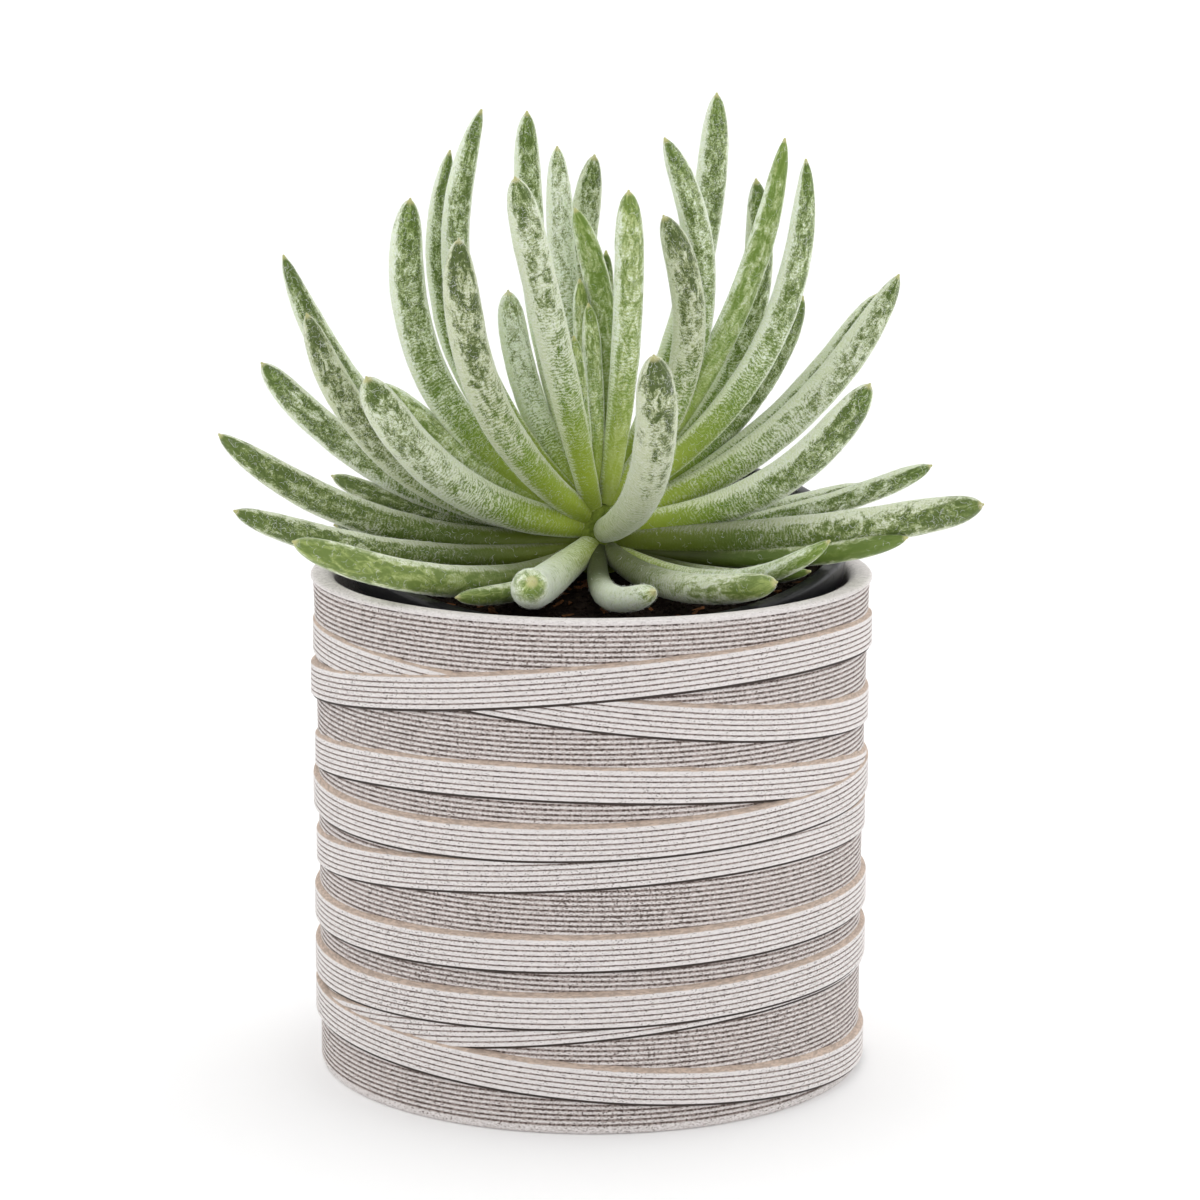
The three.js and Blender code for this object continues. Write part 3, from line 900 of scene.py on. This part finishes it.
class SENECIO_OT_cover_pot(bpy.types.Operator):
    """Makes the cover pot: its grooved wall, its smooth lip and foot, and its bands"""

    bl_idname = "senecio.cover_pot"
    bl_label = "Cover pot"

    def execute(self, context):
        settings = context.scene.senecio_pot
        wall = [(self.wall_corners(settings), 0, 0)]
        worn = whitewash_material("worn whitewash", settings, 0.25, 2.2)
        body = turned("cover_pot", wall, settings.sides, settings.wobble, worn)
        keep(body, "cachepot")
        rings = [self.band(settings, *row) for row in BANDS]
        rubbed = whitewash_material("rubbed whitewash", settings, 0.45, 1.6)
        bands = turned("pot_bands", rings, settings.sides, settings.wobble, rubbed)
        keep(bands, "cachepot")
        return {"FINISHED"}

    def wall_corners(self, settings):
        """The pot's whole profile, from the middle of its base round to the middle of its floor."""
        lip_foot = POT_TOP - 0.7 * LIP_HEIGHT
        grooves = round((lip_foot - FOOT_HEIGHT) * MM / settings.groove_pitch)
        foot = [
            (0, 0),
            (WALL_RADIUS - FOOT_ROUNDING, 0),
            (WALL_RADIUS - 0.35, 0.3),
            (WALL_RADIUS - 0.05, 0.9),
            (WALL_RADIUS, FOOT_ROUNDING),
        ]
        lip_and_inside = [
            (RIM_RADIUS - 0.25, lip_foot + 0.1),
            (RIM_RADIUS, lip_foot + 0.35),
            (RIM_RADIUS, POT_TOP - 0.6),
            (RIM_RADIUS - 0.25, POT_TOP - 0.2),
            (RIM_RADIUS - 0.7, POT_TOP),
            (MOUTH_RADIUS + 2.2, POT_TOP),
            (MOUTH_RADIUS + 0.9, POT_TOP - 0.5),
            (MOUTH_RADIUS + 0.25, POT_TOP - 1.4),
            (MOUTH_RADIUS, POT_TOP - 3),
            (MOUTH_RADIUS, POT_TOP - 12),
            (MOUTH_RADIUS, POT_FLOOR + FLOOR_FILLET),
            (MOUTH_RADIUS - 0.9, POT_FLOOR + 0.9),
            (MOUTH_RADIUS - FLOOR_FILLET, POT_FLOOR),
            (0, POT_FLOOR),
        ]
        return [
            *tinted(foot),
            *grooved(FOOT_HEIGHT, lip_foot, grooves, wall_radius, settings.groove_depth / MM, 0.36),
            (WALL_RADIUS + WALL_FLARE - 0.2, lip_foot - 0.1, {"groove": 1}),
            *tinted(lip_and_inside),
        ]

    def band(self, settings, left, front, right, proud):
        """One ridged ring: its corners and the slopes that take its middle past three heights."""
        middle = (left + right) / 2
        wall = wall_radius(middle)
        crest = wall + proud
        half = BAND_WIDTH / 2
        root = WALL_RADIUS - BAND_ROOT
        fillet = wall + FILLETS[proud]
        ridges = grooved(-half, half, settings.ridges, lambda height: crest,
                         settings.ridge_depth / MM, 0.52)
        bottom = -half - BAND_SHADE
        top = half + BAND_LEDGE
        # This fillet under the band carries the painted shade
        under = [(root, bottom), (fillet - 0.1, bottom), (fillet, -half - 0.8 * BAND_SHADE),
                 (crest - 0.22, -half - 0.05)]
        corners = [
            *tinted(under, shade=1),
            (crest - 0.05, -half, {}),
            *ridges,
            *tinted([(crest - 0.15, half), (wall - 0.1, top), (root, top)], ledge=1),
            (root, bottom, {"shade": 1}),
        ]
        raised = [(radius, middle + height, tints) for radius, height, tints in corners]
        return raised, (right - left) / (2 * crest), (middle - front) / crest


class SENECIO_OT_nursery_pot(bpy.types.Operator):
    """Makes the thin black pot that the plant grows in"""

    bl_idname = "senecio.nursery_pot"
    bl_label = "Nursery pot"

    def execute(self, context):
        settings = context.scene.senecio_nursery
        inside_top = NURSERY_TOP_RADIUS - NURSERY_WALL
        inside_base = NURSERY_BASE_RADIUS - NURSERY_WALL
        floor = NURSERY_WALL - NURSERY_DEPTH
        lip = NURSERY_LIP_RADIUS
        top = NURSERY_LIP_TOP
        foot = NURSERY_LIP_FOOT
        corners = [
            (0, -NURSERY_DEPTH),
            (NURSERY_BASE_RADIUS - 1, -NURSERY_DEPTH),
            (NURSERY_BASE_RADIUS, -NURSERY_DEPTH + 0.8),
            (NURSERY_TOP_RADIUS, foot - 0.2),
            (NURSERY_TOP_RADIUS + 0.2, foot),
            (lip - 0.8, foot),
            (lip - 0.55, foot + 0.4),
            (lip - 0.1, top - 1.2),
            (lip - 0.1, top - 0.5),
            (lip - 0.5, top - 0.05),
            (lip - 1, top),
            (inside_top + 0.8, top),
            (inside_top + 0.2, top - 0.3),
            (inside_top, top - 1),
            (inside_top, foot),
            (inside_base, floor),
            (0, floor),
        ]
        plastic = plastic_material(settings)
        pot = turned("nursery_pot_shell", [(tinted(corners), 0, 0)], settings.sides, 0.3 * MM, plastic)
        self.drill(pot)
        pot.data.transform(PLANTED)
        keep(pot, "nursery_pot")
        return {"FINISHED"}

    def drill(self, pot):
        """Cuts the drain holes through the base."""
        shape = bmesh.new()
        for i in range(DRAIN_HOLES):
            angle = (i + 0.5) * math.tau / DRAIN_HOLES
            x = DRAIN_RING * math.cos(angle)
            y = DRAIN_RING * math.sin(angle)
            bmesh.ops.create_cone(shape, cap_ends=True, segments=32, radius1=DRAIN_RADIUS * MM,
                                  radius2=DRAIN_RADIUS * MM, depth=4 * NURSERY_WALL * MM,
                                  matrix=Matrix.Translation(Vector((x, y, -NURSERY_DEPTH)) * MM))
        mesh = bpy.data.meshes.new("drills")
        shape.to_mesh(mesh)
        shape.free()
        drills = placed("drills", mesh)
        cut = pot.modifiers.new("drains", "BOOLEAN")
        cut.operation = "DIFFERENCE"
        cut.solver = "EXACT"
        cut.object = drills
        freeze(pot)
        bpy.data.objects.remove(drills)


class SENECIO_OT_soil(bpy.types.Operator):
    """Makes the potting mix, with crumbs and bark chips on its surface"""

    bl_idname = "senecio.soil"
    bl_label = "Soil"

    def execute(self, context):
        settings = context.scene.senecio_soil
        mix = soil_material("potting mix", settings.mix, toned(settings.mix, 2.4))
        bark = soil_material("bark", settings.bark, toned(settings.bark, 0.35))
        base = NURSERY_WALL - NURSERY_DEPTH + GAP
        hole = STEM_RADIUS + GAP
        brim = self.radius(-1)
        # The surface rolls from the brim in to the hole
        top = [(brim + (hole - brim) * i / SOIL_RINGS, SOIL_SWELL * math.sin(2.4 * i))
               for i in range(1, SOIL_RINGS)]
        corners = [(0, base), (self.radius(base), base), (brim, -1), *top, (hole, 0),
                   (hole, -STEM_HOLE_DEPTH), (0, -STEM_HOLE_DEPTH)]
        soil = turned("potting_mix", [(tinted(corners), 0, 0)], 96, 0.9 * MM, mix)
        lumps = {"Density": settings.crumbs, "Size": settings.crumb_size, "Slim": 0.9,
                 "Seed": settings.seed, "Hole": hole * MM, "Material": mix}
        crumbs = dressed("soil_crumbs", soil.data.copy(), scatter_tree(), lumps)
        slivers = {"Density": settings.chips, "Size": settings.chip_size, "Slim": 0.4,
                   "Seed": settings.seed + 1, "Hole": 2 * hole * MM, "Material": bark}
        chips = dressed("bark_chips", soil.data.copy(), scatter_tree(), slivers)
        for piece in (soil, crumbs, chips):
            piece.data.transform(PLANTED)
            keep(piece, "soil")
        return {"FINISHED"}

    def radius(self, height):
        """Radius of the soil's side, clear of the sloping inside of the nursery pot."""
        floor = NURSERY_WALL - NURSERY_DEPTH
        share = (height - floor) / (NURSERY_LIP_FOOT - floor)
        inside = NURSERY_BASE_RADIUS + share * (NURSERY_TOP_RADIUS - NURSERY_BASE_RADIUS) - NURSERY_WALL
        return inside - 3 * GAP


class SENECIO_OT_leaves(bpy.types.Operator):
    """Makes the stem and every leaf"""

    bl_idname = "senecio.leaves"
    bl_label = "Leaves"

    def execute(self, context):
        settings = context.scene.senecio_plant
        values = {"Sides": settings.sides, "Unevenness": settings.unevenness,
                  "Material": leaf_material(settings)}
        leaves = dressed("leaves", self.spines(settings), leaf_tree(), values)
        face_outwards(leaves.data)
        leaves.data.transform(PLANTED)
        keep(leaves, "rosette")
        # The stem is painted dark green as painted shade in the depth of the crown
        bark = soil_material("stem bark in painted shade", STEM_DARK, STEM_LIGHT)
        corners = [(0, GAP - STEM_HOLE_DEPTH), (STEM_RADIUS, GAP - STEM_HOLE_DEPTH),
                   (STEM_RADIUS, STEM_TOP - 5), (0.6 * STEM_RADIUS, STEM_TOP), (0, STEM_TOP)]
        stem = turned("stem", [(tinted(corners), 0, 0)], 48, 0.4 * MM, bark)
        stem.data.transform(PLANTED)
        keep(stem, "rosette")
        return {"FINISHED"}

    def spines(self, settings):
        """The middle line of every leaf, with what each point needs to know about its leaf."""
        points, edges, facts = [], [], []
        for rank, row in enumerate(LEAVES):
            line = self.spine(rank, row, settings.rings)
            edges += [(len(points) + i, len(points) + i + 1) for i in range(len(line) - 1)]
            points += [place for place, _ in line]
            facts += [fact for _, fact in line]
        mesh = bpy.data.meshes.new("leaves")
        mesh.from_pydata(points, edges, [])
        keep_facts(mesh, facts)
        return mesh

    def spine(self, rank, row, rings):
        """One leaf's middle line, a curve from the stem to the tip that sags by its bow."""
        turn, reach, rise, bow, swing, thick, full, finish = row
        heading = math.radians(turn)
        out = Vector((math.cos(heading), math.sin(heading), 0))
        aside = Vector((-math.sin(heading), math.cos(heading), 0))
        root_height = LOWEST_ROOT + (HIGHEST_ROOT - LOWEST_ROOT) * rank / (len(LEAVES) - 1)
        root = out * ROOT_INSET + Vector((0, 0, root_height))
        tip = out * reach + Vector((0, 0, rise))
        chord = (tip - root).normalized()
        sag = -chord.cross(aside)
        knee = (root + tip) / 2 + sag * 2 * bow + aside * 2 * swing
        looks = dict(zip(("felt", "brown", "yellow", "stripe", "dark"), FINISHES[finish]))
        length = (tip - root).length
        line = []
        for i in range(rings + 1):
            along = 1 - (1 - i / rings) ** RING_CROWDING
            place = root * (1 - along) ** 2 + knee * 2 * along * (1 - along) + tip * along ** 2
            forward = ((knee - root) * (1 - along) + (tip - knee) * along).normalized()
            across = (aside - forward * aside.dot(forward)).normalized()
            up = across.cross(forward)
            girth = max(0.5 * thick * leaf_outline(along, full), TIP_RADIUS)
            line.append((place, up, girth, along))
        # The hard point beyond the flesh
        for share in (0.35, 0.7, 0.95, 1):
            girth = TIP_RADIUS * math.sqrt(max(1 - share ** 2, 0.0025))
            line.append((tip + forward * TIP_LENGTH * share, up, girth, 1))
        return [
            (place * MM, {
                "girth": girth * MM, "up": up, "along": along, "run": along * length * MM,
                "to_tip": (1 - along) * length * MM, "leaf": float(rank), **looks,
            })
            for place, up, girth, along in line
        ]


def leaf_outline(along, full):
    """Half-width of a leaf as a share of its belly, from its root at 0 to its tip at 1."""
    if along < LEAF_BELLY:
        return LEAF_ROOT_SHARE + (1 - LEAF_ROOT_SHARE) * math.sin(0.5 * math.pi * along / LEAF_BELLY)
    past = (along - LEAF_BELLY) / (1 - LEAF_BELLY)
    return max(1 - past ** full, 0) ** LEAF_BLUNTNESS


class SENECIO_OT_felt(bpy.types.Operator):
    """Covers the leaves with fine curled hairs"""

    bl_idname = "senecio.felt"
    bl_label = "Felt"

    def execute(self, context):
        settings = context.scene.senecio_plant
        material = hair_material(settings)
        leaves = bpy.data.objects["leaves"]
        tiers = {"felt_low": LOW_LEAVES, "felt_rising": RISING_LEAVES, "felt_upright": UPRIGHT_LEAVES}
        first = 0
        for seed, (name, rows) in enumerate(tiers.items()):
            last = first + len(rows)
            values = {"Density": settings.hairs, "Length": settings.hair_length,
                      "Width": settings.hair_width, "Seed": seed, "Material": material}
            felt = dressed(name, self.tier(leaves.data, first, last), felt_tree(), values)
            keep(felt, "rosette")
            first = last
        return {"FINISHED"}

    def tier(self, mesh, first, last):
        """A copy of the leaves from one rank up to another."""
        shape = bmesh.new()
        shape.from_mesh(mesh)
        rank = shape.verts.layers.float["leaf"]
        others = [v for v in shape.verts if not first - 0.5 < v[rank] < last - 0.5]
        bmesh.ops.delete(shape, geom=others, context="VERTS")
        part = bpy.data.meshes.new("tier")
        shape.to_mesh(part)
        shape.free()
        return part


class SENECIO_PT_panel(bpy.types.Panel):
    """Lists the pieces and their settings"""

    bl_label = "Potted Senecio"
    bl_space_type = "VIEW_3D"
    bl_region_type = "UI"
    bl_category = "Senecio"

    def draw(self, context):
        for operator in OPERATORS:
            self.layout.operator(operator.bl_idname)
        for group in SETTINGS:
            box = self.layout.box()
            values = getattr(context.scene, group)
            for name in values.bl_rna.properties.keys():
                if name not in ("rna_type", "name"):
                    box.prop(values, name)


OPERATORS = (
    SENECIO_OT_stage,
    SENECIO_OT_cover_pot,
    SENECIO_OT_nursery_pot,
    SENECIO_OT_soil,
    SENECIO_OT_leaves,
    SENECIO_OT_felt,
)
SETTINGS = {
    "senecio_pot": CoverPotSettings,
    "senecio_nursery": NurseryPotSettings,
    "senecio_soil": SoilSettings,
    "senecio_plant": PlantSettings,
    "senecio_stage": StageSettings,
}
CLASSES = (*SETTINGS.values(), *OPERATORS, SENECIO_PT_panel)


def register():
    for each in CLASSES:
        bpy.utils.register_class(each)
    for name, group in SETTINGS.items():
        setattr(bpy.types.Scene, name, bpy.props.PointerProperty(type=group))


def unregister():
    for name in SETTINGS:
        delattr(bpy.types.Scene, name)
    for each in reversed(CLASSES):
        bpy.utils.unregister_class(each)


def main():
    register()
    bpy.ops.senecio.stage()
    bpy.ops.senecio.cover_pot()
    bpy.ops.senecio.nursery_pot()
    bpy.ops.senecio.soil()
    bpy.ops.senecio.leaves()
    bpy.ops.senecio.felt()


if __name__ == "__main__":
    main()
